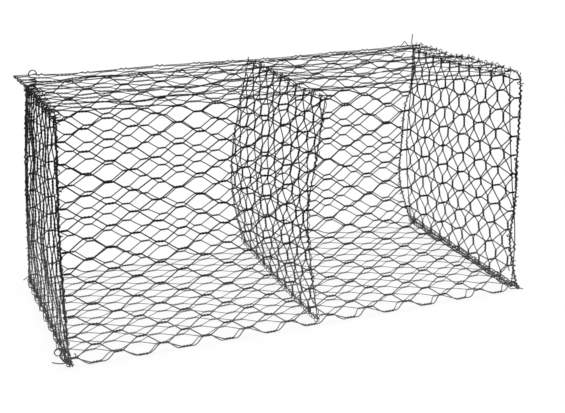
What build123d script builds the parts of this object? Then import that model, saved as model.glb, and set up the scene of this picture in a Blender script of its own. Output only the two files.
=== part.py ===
"""Empty gabion basket: a two-bay box of double-twist hexagonal wire mesh, standing ready for its stone.

One long sheet of mesh forms the back, the base, the front and the lid, folded at three edges.  Stiffer
selvedge wires edge the sheet, two end panels and a diaphragm stand inside it, and the lid opens about the
fold along the front top edge.  Millimetres; +Z up, X along the basket, the lid's fold at -Y, the origin on
the ground under the middle of the basket.
"""

import os
from math import atan2, floor, sin

from build123d import *

# Overall sizes, over the selvedge wires
box_length = 2000.0
box_depth = 1000.0
box_height = 1000.0

# Mesh: a target opening between twists, a target pitch along them, and the wire over its coat
cell_width = 87.0
cell_pitch = 91.0
twist_length = 39.0
mesh_wire = 4.0
wires_in_a_twist = 2

# Edge wires over their coat, and the room between the closed lid and what stands under it
selvedge_wire = 4.9
wire_sides = 8
lid_clearance = 5.0
fold_gap = 0.3

# The diaphragm stands a little to the right of the middle, where the mesh wires cross from column to column
diaphragm_x = 45.0

# Loose wire ends that stand up through the lid at the back corners
tie_wire = 3.2
tie_from_back = 20.0
tie_grip = 60.0
tie_step_in = 13.0
hook_rise = 48.0
hook_span = 30.0
hook_drop = 34.0
hook_bend_share = 0.49
tail_rise = 60.0
tie_bend = 6.0

# Places that follow from the sizes above
half_length = box_length / 2
half_depth = box_depth / 2
twist_width = wires_in_a_twist * mesh_wire
edge = selvedge_wire
half_edge = selvedge_wire / 2
inner_top = box_height - edge - lid_clearance
row_past_fold_share = 0.25
row_at_fold_share = 0.5

os.makedirs("parts", exist_ok=True)


def keep(builder, name):
    """Labels a finished piece and writes its file."""
    builder.part.label = name
    export_step(builder.part, f"parts/{name}.step")


def keep_both_ends(builder, name):
    """Writes a piece of the left half, and its mirror image in the right half."""
    keep(builder, name.format(side="left"))
    with BuildPart() as twin:
        mirror(builder.part, about=Plane.YZ)
    keep(twin, name.format(side="right"))


def mesh_rows(width, extra_rows):
    """Rows of twists across a panel: a whole number that suits the target opening, and the part row left over."""
    return max(1, round(width / cell_width - extra_rows)) + extra_rows


def cell_outline(pitch, row):
    """Corners of one opening: flats inside the two twists, slopes inside the four single wires."""
    slope = atan2(row / 2, pitch - twist_length)
    side = pitch - twist_length / 2 - mesh_wire / 2 / sin(slope)
    top = row / 2 - twist_width / 2
    corner = side - top * (pitch - twist_length) / (row / 2)
    return [(side, 0), (corner, top), (-corner, top), (-side, 0), (-corner, -top), (corner, -top)]


def cell_centres(columns, pitch, rows, row, first_row):
    """Middles of the openings that reach a panel, staggered by half a row from column to column."""
    centres = []
    for column in range(columns + 1):
        stagger_share = 0 if column % 2 else 1 / 2
        for count in range(floor(rows + first_row) + 2):
            centres.append((column * pitch, (count + stagger_share - first_row) * row))
    return centres


def mesh_panel(plane, length, width, rows, first_row=0):
    """A flat panel of mesh from the plane's origin: twists along its x, rows along its y, skin on the plane."""
    columns = max(1, round(length / cell_pitch))
    pitch = length / columns
    row = width / rows
    with BuildPart() as panel:
        with BuildSketch(plane):
            Rectangle(length, width, align=(Align.MIN, Align.MIN))
            with Locations(*cell_centres(columns, pitch, rows, row, first_row)):
                Polygon(*cell_outline(pitch, row), mode=Mode.SUBTRACT)
        extrude(amount=-mesh_wire)
    return panel


def edge_wire(start, end):
    """A straight selvedge wire between two points on its middle line."""
    with BuildPart() as wire:
        with BuildSketch(Plane(origin=start, z_dir=Vector(end) - Vector(start))):
            RegularPolygon(half_edge, wire_sides, major_radius=False, rotation=180 / wire_sides)
        extrude(amount=(Vector(end) - Vector(start)).length)
    return wire


def mitred(builder, *planes):
    """A piece of the sheet cut at its folds, keeping what lies on each plane's positive side."""
    with BuildPart() as cut:
        add(builder.part)
        for plane in planes:
            split(bisect_by=plane, keep=Keep.TOP)
    return cut


# Fold planes: each halves the corner between two faces of the sheet
def fold(y, z, toward_y, toward_z, gap=0):
    """The plane at 45 degrees through a fold line, facing the piece that it cuts."""
    return Plane(origin=(0, y, z), z_dir=(0, toward_y, toward_z)).offset(gap)


back_end_of_base = fold(half_depth, 0, -1, -1)
front_end_of_base = fold(-half_depth, 0, 1, -1)
foot_of_back = fold(half_depth, 0, 1, 1)
foot_of_front = fold(-half_depth, 0, -1, 1)
head_of_front = fold(-half_depth, box_height, -1, -1)
front_end_of_lid = fold(-half_depth, box_height, 1, 1, fold_gap)

# Mesh of the folded sheet, by bays; its rows run on from face to face across the folds
bay = half_length - edge

back_plane = Plane(origin=(-bay, half_depth, inner_top - edge), x_dir=(1, 0, 0), z_dir=(0, 1, 0))
back_height = inner_top - edge
back_mesh = mitred(
    mesh_panel(back_plane, bay, back_height, mesh_rows(back_height, row_past_fold_share)),
    foot_of_back,
)
keep_both_ends(back_mesh, "back_mesh_{side}_bay")

base_plane = Plane(origin=(-bay, half_depth, 0), x_dir=(1, 0, 0), z_dir=(0, 0, -1))
base_mesh = mitred(
    mesh_panel(base_plane, bay, box_depth, mesh_rows(box_depth, row_at_fold_share), row_past_fold_share),
    back_end_of_base,
    front_end_of_base,
)
keep_both_ends(base_mesh, "base_mesh_{side}_bay")

front_plane = Plane(origin=(-bay, -half_depth, 0), x_dir=(1, 0, 0), z_dir=(0, -1, 0))
front_first_row = row_past_fold_share + row_at_fold_share
front_mesh = mitred(
    mesh_panel(front_plane, bay, box_height, mesh_rows(box_height, row_at_fold_share), front_first_row),
    foot_of_front,
    head_of_front,
)
keep_both_ends(front_mesh, "front_mesh_{side}_bay")

lid_plane = Plane(origin=(-bay, -half_depth, box_height), x_dir=(1, 0, 0), z_dir=(0, 0, 1))
lid_depth = box_depth - edge
lid_mesh = mitred(
    mesh_panel(lid_plane, bay, lid_depth, mesh_rows(lid_depth, row_past_fold_share), row_past_fold_share),
    front_end_of_lid,
)
keep_both_ends(lid_mesh, "lid_mesh_{side}_bay")

# Selvedge wires along the sheet's cut sides, and along its two free edges
side_x = -half_length + half_edge
side_y = half_depth - half_edge

front_side = edge_wire((side_x, -side_y, 0), (side_x, -side_y, box_height))
keep_both_ends(mitred(front_side, foot_of_front, head_of_front), "front_{side}_selvedge")

base_side = edge_wire((side_x, -half_depth, half_edge), (side_x, half_depth, half_edge))
keep_both_ends(mitred(base_side, back_end_of_base, front_end_of_base), "base_{side}_selvedge")

back_side = edge_wire((side_x, side_y, 0), (side_x, side_y, inner_top))
keep_both_ends(mitred(back_side, foot_of_back), "back_{side}_selvedge")

lid_z = box_height - half_edge
lid_side = edge_wire((side_x, -half_depth, lid_z), (side_x, half_depth, lid_z))
keep_both_ends(mitred(lid_side, front_end_of_lid), "lid_{side}_selvedge")

back_top = edge_wire((-bay, side_y, inner_top - half_edge), (bay, side_y, inner_top - half_edge))
keep(back_top, "back_top_selvedge")

lid_back = edge_wire((-bay, side_y, lid_z), (bay, side_y, lid_z))
keep(lid_back, "lid_free_edge_selvedge")


def upright_frame(name, x, half_width, foot):
    """The four edge wires of a panel that stands across the basket, outside sizes given."""
    across = half_width - half_edge
    head_z = inner_top - half_edge
    foot_z = foot + half_edge
    return {
        name + "_bottom_selvedge": edge_wire((x, -half_width, foot_z), (x, half_width, foot_z)),
        name + "_top_selvedge": edge_wire((x, -half_width, head_z), (x, half_width, head_z)),
        name + "_front_selvedge": edge_wire((x, -across, foot + edge), (x, -across, inner_top - edge)),
        name + "_back_selvedge": edge_wire((x, across, foot + edge), (x, across, inner_top - edge)),
    }


def upright_mesh(skin_x, half_width, foot):
    """The mesh inside such a frame, with its twists upright."""
    opening = half_width - edge
    plane = Plane(origin=(skin_x, -opening, foot + edge), x_dir=(0, 0, 1), z_dir=(-1, 0, 0))
    return mesh_panel(plane, inner_top - foot - 2 * edge, 2 * opening, mesh_rows(2 * opening, 0))


# End panels stand on the sheet's side wires, between those of the front and the back
upright_half_width = half_depth - edge
keep_both_ends(upright_mesh(-half_length, upright_half_width, edge), "{side}_end_mesh")
for wire_name, wire in upright_frame("{side}_end", side_x, upright_half_width, edge).items():
    keep_both_ends(wire, wire_name)

# The diaphragm stands on the base mesh between the two bays, its top wire against the back's top wire
keep(upright_mesh(diaphragm_x - mesh_wire / 2, upright_half_width, mesh_wire), "diaphragm_mesh")
for wire_name, wire in upright_frame("diaphragm", diaphragm_x, upright_half_width, mesh_wire).items():
    keep(wire, wire_name)

# Loose ends of tie wire: each lies against an end panel's top wire, steps in and stands up through the lid
tie_y = half_depth - tie_from_back
tie_foot_x = -half_length + edge + tie_wire / 2
tie_x = tie_foot_x + tie_step_in
tie_foot = [(tie_foot_x, tie_y, inner_top - tie_grip), (tie_foot_x, tie_y, inner_top)]
tie_shoulder = (tie_x, tie_y, inner_top + tie_step_in)


def bent_wire(points, radii):
    """A tie wire along straight runs with rounded bends."""
    with BuildPart() as wire:
        with BuildLine() as path:
            FilletPolyline(*points, radius=radii)
        with BuildSketch(Plane(origin=points[0], z_dir=Vector(points[1]) - Vector(points[0]))):
            Circle(tie_wire / 2)
        sweep(path=path.line)
    return wire


hook_top = box_height + hook_rise - tie_wire / 2
hook_bend = hook_span * hook_bend_share
hook_points = [
    *tie_foot,
    tie_shoulder,
    (tie_x, tie_y, hook_top),
    (tie_x + hook_span, tie_y, hook_top),
    (tie_x + hook_span, tie_y, hook_top - hook_drop),
]
keep(bent_wire(hook_points, [tie_bend, tie_bend, hook_bend, hook_bend]), "left_tie_hook")

tail_points = [*tie_foot, tie_shoulder, (tie_x, tie_y, box_height + tail_rise)]
with BuildPart() as tail:
    mirror(bent_wire(tail_points, [tie_bend, tie_bend]).part, about=Plane.YZ)
keep(tail, "right_tie_tail")
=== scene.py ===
"""An empty two-bay gabion basket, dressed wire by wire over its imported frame.

One folded sheet of double-twist hexagonal mesh makes the back, base, front and lid. Two end panels and a
diaphragm with upright twists stand in it, laced to the sheet along the base and the corners.
"""

import logging
import math
from dataclasses import dataclass
from enum import Enum
from typing import Sequence

import bpy
import numpy as np
from bpy.types import Material, Mesh, Node, NodeSocket, NodeTree, Object
from mathutils import Matrix, Vector


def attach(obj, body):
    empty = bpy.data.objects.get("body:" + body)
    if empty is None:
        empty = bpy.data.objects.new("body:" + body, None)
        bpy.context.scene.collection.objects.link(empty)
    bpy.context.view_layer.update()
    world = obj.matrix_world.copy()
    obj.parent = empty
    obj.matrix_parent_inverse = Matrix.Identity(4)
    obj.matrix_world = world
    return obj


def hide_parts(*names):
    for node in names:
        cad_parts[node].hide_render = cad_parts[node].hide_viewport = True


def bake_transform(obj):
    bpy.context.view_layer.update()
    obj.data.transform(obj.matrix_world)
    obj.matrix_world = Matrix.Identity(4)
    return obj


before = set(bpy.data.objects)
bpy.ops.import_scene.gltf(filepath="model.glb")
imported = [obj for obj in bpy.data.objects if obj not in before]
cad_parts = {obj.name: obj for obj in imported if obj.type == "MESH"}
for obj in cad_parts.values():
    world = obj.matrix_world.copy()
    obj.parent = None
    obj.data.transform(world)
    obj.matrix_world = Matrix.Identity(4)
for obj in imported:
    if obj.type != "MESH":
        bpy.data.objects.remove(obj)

Array = np.ndarray
Values = float | Array
Triple = tuple[float, float, float]
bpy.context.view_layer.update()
LOG = logging.getLogger("gabion_basket")
TURN = 2.0 * math.pi
QUARTER = 0.5 * math.pi
OFF_GROUND = 0.0003
EDGE_SIDES = 8
EDGE_GRIME = 0.25


class Side(Enum):
    """The two cut sides of a sheet: the value is the way from that side into the sheet."""

    LEFT = 1
    RIGHT = -1


class Face(Enum):
    """The four faces of the folded sheet: first and last row, and the winding of wire ends left and right."""

    BACK = (0.0, 11.25, 0.9, 1.6)
    BASE = (11.25, 22.7, 0.45, 0.45)
    FRONT = (22.7, 33.75, 0.7, 2.5)
    LID = (33.75, 45.5, 0.7, 0.8)


class Along(Enum):
    """The directions of a flat sheet, each as a step (u, v, w) of a millimetre or a hundredth of a row."""

    TWIST = (0.001, 0.0, 0.0)
    ROW = (0.0, 0.01, 0.0)
    OUT = (0.0, 0.0, 0.001)


def unit(vectors: Array) -> Array:
    """Give vectors a length of one: each is divided by its own length."""
    return vectors / np.maximum(np.linalg.norm(vectors, axis=-1, keepdims=True), 1e-12)


def portion(at: Values, start: Values, end: Values) -> Values:
    """Give how far a place is on the way from start to end, as a share cut to 0..1."""
    return np.clip((at - start) / (end - start), 0.0, 1.0)


def ease(at: Values, start: float, end: float) -> Values:
    """Rise from 0 at start to 1 at end along 3t^2 - 2t^3, t being the share of the way."""
    t = portion(at, start, end)
    return t * t * (3.0 - 2.0 * t)


def plateau(at: Values, start: float, end: float, slope: float) -> Values:
    """Rise from 0 at start to 1 and fall to 0 at end: the product of two eases as wide as the slope."""
    return ease(at, start, start + slope) * ease(at, end, end - slope)


def mirrored(lead: Array, middle: Array, sign: float) -> Array:
    """Join a lead, a middle, and the lead from its end to its start times a sign."""
    return np.concatenate([lead, middle, sign * lead[::-1]])


def above_ground(points: Array, lowest: float) -> Array:
    """Lift points that lie under the lowest height to that height, and give them back."""
    points[..., 2] = np.maximum(points[..., 2], lowest)
    return points


def flowing(knots: Sequence[Sequence[float]], stations: int) -> Array:
    """Draw a smooth line through given knots.

    Between two knots each coordinate is a cubic that leaves and arrives along the chord of the knots on
    either side.

    Args:
        knots: The knots in order, in metres.
        stations: How many points the line gets.

    Returns:
        The line's points, one row each.
    """
    given = np.asarray(knots, float)
    ends = np.vstack([2 * given[0] - given[1], given, 2 * given[-1] - given[-2]])
    at = np.linspace(0.0, len(given) - 1.0, stations)
    cell = np.minimum(at.astype(int), len(given) - 2)
    t = (at - cell)[:, None]
    a, b, c, d = (ends[cell + step] for step in range(4))
    return 0.5 * (2 * b + (c - a) * t + (2 * a - 5 * b + 4 * c - d) * t**2 + (3 * b - a - 3 * c + d) * t**3)


def coiled(
    centre: Triple,
    radius: float,
    turns: float,
    first: Triple,
    second: Triple,
    advance: Triple,
    a_turn: int = 8,
) -> Array:
    """Lay knots round a coil.

    A knot lies at centre + radius * (cos a * first + sin a * second) + share of the way * advance.

    Args:
        centre: The middle of the first turn, in metres.
        radius: The coil's radius, in metres.
        turns: How often it goes round.
        first: Direction of the first knot from the middle.
        second: Direction a quarter of a turn later.
        advance: How far the middle moves over the whole coil, in metres.
        a_turn: Knots for each turn.

    Returns:
        The knots, one row each.
    """
    share = np.linspace(0.0, 1.0, int(turns * a_turn) + 1)[:, None]
    angle = TURN * turns * share
    ring = np.cos(angle) * np.array(first) + np.sin(angle) * np.array(second)
    return np.array(centre) + radius * ring + share * np.array(advance)


@dataclass(frozen=True)
class Curve:
    """A smooth curve that passes through a few values.

    Between two stations it is the cubic that meets both values. Its slope at a station is the mean of the two
    chords that meet there, the shorter one counting more. Values without stations are spread evenly over
    0 to 1.
    """

    values: tuple[float, ...]
    stations: tuple[float, ...] = ()

    def read(self, at: Array) -> Array:
        """Read the curve.

        Args:
            at: Where the curve is read; beyond the last stations it keeps their values.

        Returns:
            The curve's values, one for each place.
        """
        value = np.array(self.values)
        place = np.array(self.stations or np.linspace(0.0, 1.0, len(value)))
        slope = np.gradient(value, place)
        cell = np.clip(np.searchsorted(place, at, side="right") - 1, 0, len(place) - 2)
        width = place[cell + 1] - place[cell]
        t = portion(at, place[cell], place[cell + 1])
        far = ease(t, 0.0, 1.0)
        lean = width * t * (1.0 - t) * ((1.0 - t) * slope[cell] - t * slope[cell + 1])
        return value[cell] * (1.0 - far) + value[cell + 1] * far + lean


@dataclass(frozen=True)
class Wander:
    """Slow unevenness of handled wire over a flat sheet.

    The height is a sum of plane waves, each with its own direction, length and phase from a seeded draw,
    scaled so that the whole has the given reach as its root mean square.
    """

    seed: int
    reach: float
    longest: float = 0.7
    shortest: float = 0.2
    waves: int = 10

    def over(self, a: Array, b: Array) -> Array:
        """Read the unevenness.

        Args:
            a: First flat coordinate, in metres.
            b: Second flat coordinate, in metres.

        Returns:
            The offset at each place, in metres.
        """
        draw = np.random.default_rng(self.seed)
        heading = draw.uniform(0.0, TURN, self.waves)
        phase = draw.uniform(0.0, TURN, self.waves)
        length = draw.uniform(self.shortest, self.longest, self.waves)
        a, b = np.broadcast_arrays(a, b)
        angle = TURN * (a[..., None] * np.cos(heading) + b[..., None] * np.sin(heading)) / length + phase
        return self.reach * math.sqrt(2.0 / self.waves) * np.sin(angle).sum(axis=-1)


@dataclass(frozen=True)
class Rack:
    """How far the empty basket stands out of square: one shift for each of its eight corners.

    A point moves by the shifts of all eight corners, each weighted by the product of how near the point is to
    that corner along the three sides.
    """

    half_length: float = 1.0
    half_depth: float = 0.5
    height: float = 1.0
    front_left_foot: Triple = (-0.014, -0.018, 0.0)
    front_right_foot: Triple = (0.018, -0.018, 0.0)
    back_left_foot: Triple = (-0.046, -0.003, 0.0)
    back_right_foot: Triple = (0.012, 0.020, 0.026)
    front_left_top: Triple = (0.008, 0.0, 0.003)
    front_right_top: Triple = (-0.004, 0.002, -0.005)
    back_left_top: Triple = (0.012, -0.018, -0.045)
    back_right_top: Triple = (0.002, -0.008, -0.010)

    def apply(self, points: Array) -> Array:
        """Move points out of square.

        Args:
            points: Points of the square basket, in metres.

        Returns:
            The same points of the basket as it stands.
        """
        right = points[..., :1] / self.half_length * 0.5 + 0.5
        back = points[..., 1:2] / self.half_depth * 0.5 + 0.5
        up = points[..., 2:3] / self.height
        left, fore, down = 1.0 - right, 1.0 - back, 1.0 - up
        for near, shift in (
            (down * fore * left, self.front_left_foot),
            (down * fore * right, self.front_right_foot),
            (down * back * left, self.back_left_foot),
            (down * back * right, self.back_right_foot),
            (up * fore * left, self.front_left_top),
            (up * fore * right, self.front_right_top),
            (up * back * left, self.back_left_top),
            (up * back * right, self.back_right_top),
        ):
            points = points + near * np.array(shift)
        return points


class WireBundle:
    """Round wires gathered into one mesh: each wire is a ring of points carried along its path."""

    def __init__(self, name: str) -> None:
        """Start an empty bundle.

        Args:
            name: The finished piece's name.
        """
        self.name = name
        self._points: list[Array] = []
        self._corners: list[Array] = []
        self._unwrapped: list[Array] = []
        self._grime: list[Array] = []
        self._bare: list[Array] = []
        self._count = 0

    def carry(
        self,
        path: Array,
        guide: Array,
        radius: Values,
        sides: int = 5,
        keep: Array | None = None,
        grime: Values = 0.0,
        bare: Values = 0.0,
    ) -> None:
        """Carry a ring along each path and add the tubes.

        At each station the ring lies in the plane across the path: its first axis is path direction x guide,
        its second is path direction x first axis, and its points are radius * (cos a * first + sin a *
        second). Rings of neighbouring stations are joined by four-cornered faces, and loose ends are closed
        by one face.

        Args:
            path: Points of the wires' middles, as wire x station x 3.
            guide: A direction that no path runs along, as 3 numbers or one for each station.
            radius: Half the wire's diameter, in metres.
            sides: Corners of the ring.
            keep: Which stretches between stations are there, as wire x (station - 1).
            grime: How much dirt is held at each station, 0 to 1.
            bare: How bare and rusty each station is, 0 to 1.
        """
        path = path[None] if path.ndim == 2 else path
        wires, stations = path.shape[:2]
        ahead = np.empty_like(path)
        ahead[:, 1:-1] = path[:, 2:] - path[:, :-2]
        ahead[:, 0], ahead[:, -1] = path[:, 1] - path[:, 0], path[:, -1] - path[:, -2]
        ahead = unit(ahead)
        first = unit(np.cross(ahead, np.broadcast_to(guide, path.shape)))
        second = np.cross(ahead, first)
        corner = np.arange(sides)
        angle = TURN * corner / sides
        spread = np.cos(angle)[:, None] * first[:, :, None] + np.sin(angle)[:, None] * second[:, :, None]
        ring = path[:, :, None] + np.broadcast_to(radius, (wires, stations))[..., None, None] * spread

        keep = np.ones((wires, stations - 1), bool) if keep is None else keep
        used = np.zeros((wires, stations), bool)
        used[:, :-1] |= keep
        used[:, 1:] |= keep
        number = (np.cumsum(used.ravel()).reshape(used.shape) - 1) * sides + self._count
        run = np.zeros((wires, stations))
        run[:, 1:] = np.cumsum(np.linalg.norm(np.diff(path, axis=1), axis=-1), axis=1)

        after = (corner + 1) % sides
        wire, station = np.nonzero(keep)
        near, far = number[wire, station][:, None], number[wire, station + 1][:, None]
        wall = np.stack([near + corner, near + after, far + after, far + corner], axis=-1)
        here, there = (np.repeat(run[wire, at][:, None], sides, axis=1) for at in (station, station + 1))
        low = np.broadcast_to(corner / sides, here.shape)
        high = low + 1.0 / sides
        flat = np.stack([here, low, here, high, there, high, there, low], axis=-1)
        self._corners.append(wall.reshape(-1, 4))
        self._unwrapped.append(flat.reshape(-1, 4, 2))

        framed = np.zeros((wires, stations + 1), bool)
        framed[:, 1:-1] = keep
        opens = framed[:, 1:] & ~framed[:, :-1]
        closes = framed[:, :-1] & ~framed[:, 1:]
        for loose, order in ((opens, corner[::-1]), (closes, corner)):
            cap = number[loose][:, None] + order
            along = np.broadcast_to(run[loose][:, None], cap.shape)
            self._corners.append(cap)
            self._unwrapped.append(np.stack([along, np.full(cap.shape, 0.5)], axis=-1))

        self._points.append(ring[used].reshape(-1, 3))
        self._grime.append(np.repeat(np.broadcast_to(grime, used.shape)[used], sides))
        self._bare.append(np.repeat(np.broadcast_to(bare, used.shape)[used], sides))
        self._count += int(used.sum()) * sides

    def _mesh(self) -> Mesh:
        """Put the gathered wires into one mesh, with their lengths and rounds as its UV map.

        Returns:
            The new mesh.
        """
        corners = [block for block in self._corners if len(block)]
        totals = np.concatenate([np.full(len(block), block.shape[1]) for block in corners])
        smooth = np.concatenate([np.full(len(block), block.shape[1] == 4) for block in corners])
        index = np.concatenate([block.ravel() for block in corners])
        unwrapped = np.concatenate([block.reshape(-1, 2) for block in self._unwrapped if len(block)])
        points = np.concatenate(self._points)
        mesh = bpy.data.meshes.new(self.name)
        mesh.vertices.add(len(points))
        mesh.vertices.foreach_set("co", points.astype(np.float32).ravel())
        mesh.loops.add(len(index))
        mesh.loops.foreach_set("vertex_index", index.astype(np.int32))
        mesh.polygons.add(len(totals))
        mesh.polygons.foreach_set("loop_start", (np.cumsum(totals) - totals).astype(np.int32))
        mesh.update(calc_edges=True)
        mesh.uv_layers.new(name="UVMap").data.foreach_set("uv", unwrapped.astype(np.float32).ravel())
        for label, parts in (("grime", self._grime), ("bare", self._bare)):
            layer = mesh.attributes.new(label, "FLOAT", "POINT")
            layer.data.foreach_set("value", np.concatenate(parts).astype(np.float32))
        mesh.polygons.foreach_set("use_smooth", smooth)
        mesh.validate()
        return mesh

    def knit(
        self,
        material: Material,
        slot: str,
        nodes: Sequence[str] = (),
        body: str = "basket",
        bends: bool = False,
    ) -> Object:
        """Make the piece at the origin with its finish, and hide the solids that it replaces.

        Args:
            material: The finish of every wire in the bundle.
            slot: Not used.
            nodes: The solids that the piece replaces.
            body: The body that the piece rides on.
            bends: True for a piece that spans the front top fold, which is left off the bodies instead, with
                its place baked into its mesh.

        Returns:
            The new piece.
        """
        mesh = self._mesh()
        mesh.materials.append(material)
        piece = bpy.data.objects.new(self.name, mesh)
        bpy.context.scene.collection.objects.link(piece)
        if bends:
            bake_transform(piece)
        else:
            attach(piece, body)
        if nodes:
            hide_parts(*nodes)
        return piece


@dataclass(frozen=True)
class Strands:
    """Wires laid out flat, with values by wire and station, and the direction that no wire runs along."""

    u: Array
    v: Array
    w: Array
    guide: Along
    radius: Values
    grime: Array
    bare: Values = 0.0
    keep: Array | None = None


@dataclass(frozen=True)
class TwistMesh:
    """The flat double-twist lattice.

    Twists stand in columns a pitch apart. In even columns they lie on whole rows, in odd columns half a row
    between. Two wires wind once and a half round each other in a twist and part to the neighbouring columns.
    Flat places are (u, v, w): u metres along the twists, v rows across them, and w metres out of the sheet.
    """

    columns: int
    rows: float
    length: float
    row: float
    stub: float
    wire: float = 0.0053
    twist: float = 0.039
    twist_stations: int = 11
    lead_shares: Triple = (0.0, 0.5, 0.86)
    lead_grime: Triple = (0.0, 0.0, 0.5)
    selvedge: float = 0.0050
    hug_stations: int = 19
    hug_lead_shares: Triple = (0.0, 0.45, 0.85)
    hug_trim: float = 0.003
    hug_gap: float = 0.0006
    stub_stations: int = 13
    stub_gap: float = 0.0055
    stub_taper: tuple[float, float] = (0.9, 0.85)
    wrap_stations: int = 33
    wrap_turns: float = 1.5
    wrap_stride: float = 0.022
    wrap_start: float = 0.0016
    wrap_slack: float = 0.0004
    wrap_share: float = 0.8
    fray: float = 0.012
    tip_rust: Triple = (0.4, 0.8, 1.0)

    @property
    def pitch(self) -> float:
        """The step from column to column: the length less a stub at either side, shared among the columns."""
        return (self.length - 2.0 * self.stub) / self.columns

    def edge_of(self, side: Side) -> float:
        """Give where a cut side lies along the twists, in metres."""
        return 0.0 if side is Side.LEFT else self.length

    def _between(self, row: Array, first: float, last: float, hair: float = 1e-6) -> Array:
        """Tell which rows lie after the first and before the last, a hair inside the sheet's edges."""
        return (row > max(first, hair)) & (row < min(last, self.rows - hair))

    def through_wires(self, first: float, last: float) -> Strands:
        """Lay out the wires that run from cut side to cut side.

        Each wire climbs or falls half a row from column to column. In a column it comes in along a straight,
        turns one and a half times as (v, w) = half a wire * (sin a, cos a), and goes out along the mirrored
        straight. Its partner in the twist has both offsets turned by half a turn.

        Args:
            first: Twists on this row or before it are left out.
            last: Twists on this row or after it are left out.

        Returns:
            The wires, with the stretches that are kept.
        """
        reach, half, coil = self.pitch / 2, self.twist / 2, self.wire / 2
        share = np.array(self.lead_shares)
        lead_u = -reach + share * (reach - half)
        lead_v = -self.row / 4 + share * (self.row / 4 - coil)
        wind = np.linspace(-QUARTER, 5 * QUARTER, self.twist_stations)
        du = mirrored(lead_u, np.linspace(-half, half, self.twist_stations), -1.0)[:-1]
        dv = mirrored(lead_v, coil * np.sin(wind), -1.0)[:-1] / self.row
        dw = mirrored(0.0 * share, coil * np.cos(wind), 1.0)[:-1]
        held = mirrored(np.array(self.lead_grime), np.ones(self.twist_stations), 1.0)[:-1]

        column = np.arange(1, self.columns)
        start = np.arange(-(self.columns // 2) - 1, int(self.rows) + self.columns // 2 + 2)
        slope = np.repeat([1.0, -1.0], len(start))
        centre = np.tile(start, 2)[:, None] + slope[:, None] * column / 2
        inside = self._between(centre, first, last)
        some = inside.any(axis=1)
        slope, centre, inside = slope[some], centre[some], inside[some]
        wires = len(slope)
        u = (self.stub + column[:, None] * self.pitch + du).ravel()
        v = (centre[:, :, None] + slope[:, None, None] * dv).reshape(wires, -1)
        w = np.tile(slope[:, None, None] * dw, (1, len(column), 1)).reshape(wires, -1)
        u = np.append(u, self.stub + (self.columns - 0.5) * self.pitch)
        v = np.column_stack([v, centre[:, -1] + slope / 4])
        w = np.column_stack([w, np.zeros(wires)])
        grime = np.append(np.tile(held, len(column)), 0.0)
        return Strands(u, v, w, Along.OUT, coil, grime, keep=np.repeat(inside, len(du), axis=1))

    def selvedge_strands(self, at_end: bool) -> Strands:
        """Lay out the wires that come to a selvedge, wind round it and go back.

        The middle runs as (v, w) = r * (cos a, sin a) from a = 90 to 630 degrees, r being half the selvedge
        wire and half the mesh wire, while u crosses the length of a twist. Straights lead in and out.

        Args:
            at_end: True for the selvedge on the last row, false for the one on row 0.

        Returns:
            The wires.
        """
        edge, inward = (self.rows, -1.0) if at_end else (0.0, 1.0)
        column = np.arange(1, self.columns)
        column = column[np.isclose((edge - column / 2) % 1.0, 0.0)]
        reach, half = self.pitch / 2, self.twist / 2 - self.hug_trim
        round_it = (self.selvedge + self.wire) / 2
        share = np.array(self.hug_lead_shares)
        wind = np.linspace(QUARTER, 7 * QUARTER, self.hug_stations)
        lead_u = -reach + share * (reach - half)
        lead_v = self.row / 4 * (1.0 - share) + self.hug_gap
        du = mirrored(lead_u, np.linspace(-half, half, self.hug_stations), -1.0)
        dv = mirrored(lead_v, round_it * np.cos(wind), 1.0) * inward / self.row
        dw = mirrored(round_it * share, round_it * np.sin(wind), -1.0)
        held = mirrored(share / 2, np.ones(self.hug_stations), 1.0)
        u = self.stub + column[:, None] * self.pitch + du
        return Strands(u, edge + dv, dw, Along.TWIST, self.wire / 2, held)

    def cut_ends(self, side: Side, first: float, last: float, wound: float) -> Strands:
        """Lay out the wire pairs that end at a cut side.

        A pair twists on over the stub, one and three quarter turns, then each wire winds along the side
        selvedge in an open spiral, (u, w) = r * (cos a, sin a), one wire each way. By a seeded draw the turns
        are 0.7 to 1.3 and the strides 0.75 to 1.25 of the usual, and the last bit flares by the sixth power
        of the way.

        Args:
            side: The cut side.
            first: Rows up to this one are left out.
            last: Rows from this one on are left out.
            wound: How much of the usual winding the ends get.

        Returns:
            The wires, thinner round the selvedge and bare at their tips.
        """
        column = 0 if side is Side.LEFT else self.columns
        row = np.arange(-1.0, self.rows + 2.0) + (column % 2) / 2
        row = row[self._between(row, first, last)]
        arm = np.repeat([1.0, -1.0], len(row))[:, None]
        luck = np.random.default_rng(int(first * 8) + column).uniform(0.0, 1.0, (3, len(arm), 1))
        reach, half, coil = self.stub + self.pitch / 2, self.stub + self.twist / 2, self.wire / 2
        share = np.array(self.lead_shares)
        part = np.linspace(0.0, 1.0, self.stub_stations)
        run = np.linspace(0.0, 1.0, self.wrap_stations)
        wind = QUARTER - 7 * QUARTER * part
        turns = self.wrap_turns * wound * (0.7 + 0.6 * luck[0])
        spin = TURN * turns * run + QUARTER
        hug = (self.selvedge + self.wire * self.wrap_share) / 2
        radius = hug + self.wrap_slack * (0.5 + run) + self.fray * luck[2] * run**6
        step = self.wrap_start + self.wrap_stride * (0.75 + 0.5 * luck[1]) * turns * run
        du, dv, dw = (
            np.hstack([np.tile(np.concatenate([lead, stub]), (len(arm), 1)), spiral])
            for lead, stub, spiral in (
                (reach + share * (half - reach), half - (half - self.stub_gap) * part, radius * np.cos(spin)),
                (self.row / 4 + share * (coil - self.row / 4), coil * np.sin(wind), step),
                (0.0 * share, coil * np.cos(wind), -radius * np.sin(spin)),
            )
        )
        full = len(share) + self.stub_stations - len(self.stub_taper)
        thin = np.concatenate([np.ones(full), self.stub_taper, np.full(self.wrap_stations, self.wrap_share)])
        held = np.concatenate([share / 2, np.ones(self.stub_stations + self.wrap_stations)])
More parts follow.
